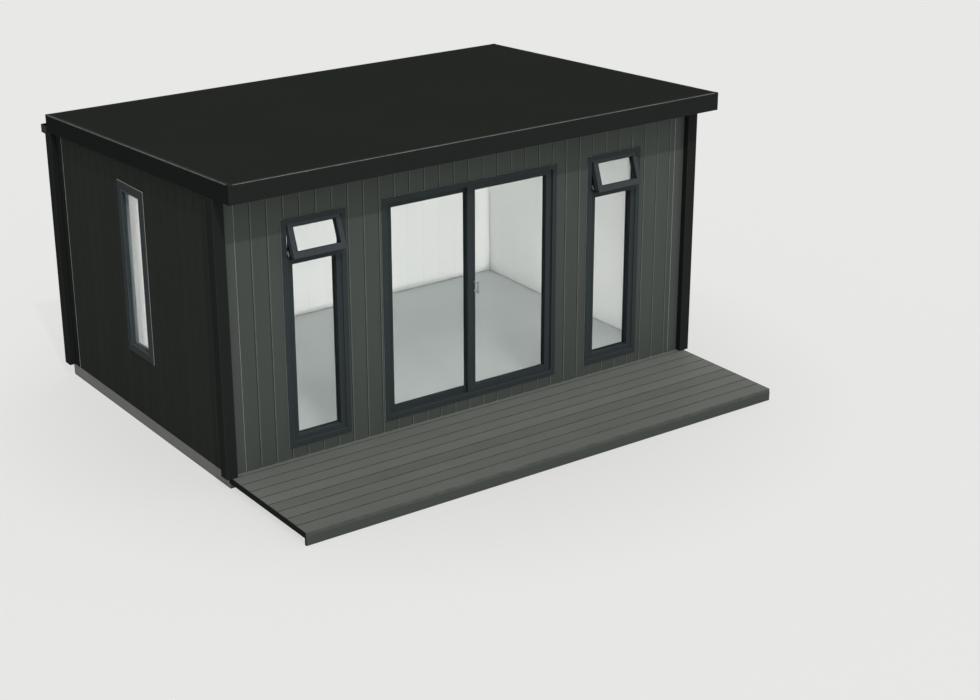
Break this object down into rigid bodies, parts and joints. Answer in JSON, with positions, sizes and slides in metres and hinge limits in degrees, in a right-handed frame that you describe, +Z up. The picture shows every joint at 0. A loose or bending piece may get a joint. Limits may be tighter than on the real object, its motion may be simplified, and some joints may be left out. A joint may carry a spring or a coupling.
{
  "type": "garden office pod",
  "caption": "Flat-roofed garden office with clad walls on a concrete base, a sliding glazed patio door, tall windows with open top vents, corner posts and a low front deck.",
  "frame": {"origin": "centre of the concrete base's underside, on the ground", "axes": "+X to the right along the door wall, +Y from the door wall to the rear, +Z up"},
  "size_m": [4.946, 4.425, 2.66],
  "materials": {
    "concrete": "smooth cast concrete",
    "floor_grey": "grey vinyl floor",
    "interior_white": "painted lining boards",
    "cladding_grey": "grained composite boards",
    "cladding_black": "grained composite boards",
    "trim_black": "plain composite strip",
    "post_black": "plain composite post",
    "roof_panel_white": "faced insulation panel",
    "membrane_black": "matt rubber sheet",
    "fascia_black": "satin coated board",
    "edge_trim_grey": "satin metal trim",
    "gutter_black": "satin plastic",
    "frame_anthracite": "satin powder coat",
    "glass_clear": "clear double glazing",
    "steel_satin": "satin steel",
    "runner_plastic": "nylon",
    "deck_composite": "brushed composite boards",
    "joist_timber": "treated softwood"
  },
  "bodies": {
    "building": {"base_slab": "concrete", "corner_post_front_left": "post_black", "corner_post_front_right": "post_black", "corner_post_rear_left": "post_black", "corner_post_rear_right": "post_black", "deck_boards": "deck_composite", "deck_joists": "joist_timber", "deck_nosing": "deck_composite", "door_fixed_glass": "glass_clear", "door_fixed_panel": "frame_anthracite", "door_frame": "frame_anthracite", "downpipe": "gutter_black", "downpipe_brackets": "gutter_black", "fascia_front": "fascia_black", "fascia_left": "fascia_black", "fascia_rear": "fascia_black", "fascia_right": "fascia_black", "floor_panel": "floor_grey", "front_cladding_header": "cladding_grey", "front_cladding_left": "cladding_grey", "front_cladding_right": "cladding_grey", "front_cladding_sill": "cladding_grey", "front_end_trims": "cladding_grey", "front_wall_header": "interior_white", "front_wall_left": "interior_white", "front_wall_right": "interior_white", "front_wall_sill": "interior_white", "gutter": "gutter_black", "gutter_board": "gutter_black", "left_cladding": "cladding_black", "left_wall": "interior_white", "rear_cladding": "cladding_black", "rear_end_trims": "trim_black", "rear_wall": "interior_white", "right_cladding": "cladding_black", "right_wall": "interior_white", "roof_edge_trim": "edge_trim_grey", "roof_membrane": "membrane_black", "roof_panel": "roof_panel_white", "side_end_trims": "trim_black", "side_window_left_frame": "frame_anthracite", "side_window_left_glass": "glass_clear", "side_window_right_frame": "frame_anthracite", "side_window_right_glass": "glass_clear", "soffit": "fascia_black", "vent_stays": "steel_satin", "window_left_frame": "frame_anthracite", "window_left_glass": "glass_clear", "window_left_vent": "frame_anthracite", "window_right_frame": "frame_anthracite", "window_right_glass": "glass_clear", "window_right_vent": "frame_anthracite"},
    "sliding_door": {"door_sliding_panel": "frame_anthracite", "door_sliding_glass": "glass_clear", "door_handle": "steel_satin", "door_runners": "runner_plastic"}
  },
  "joints": [
    {"name": "door_slide", "type": "slide", "parent": "building", "child": "sliding_door", "axis": [-1, 0, 0], "range_m": [0, 0.8]}
  ]
}
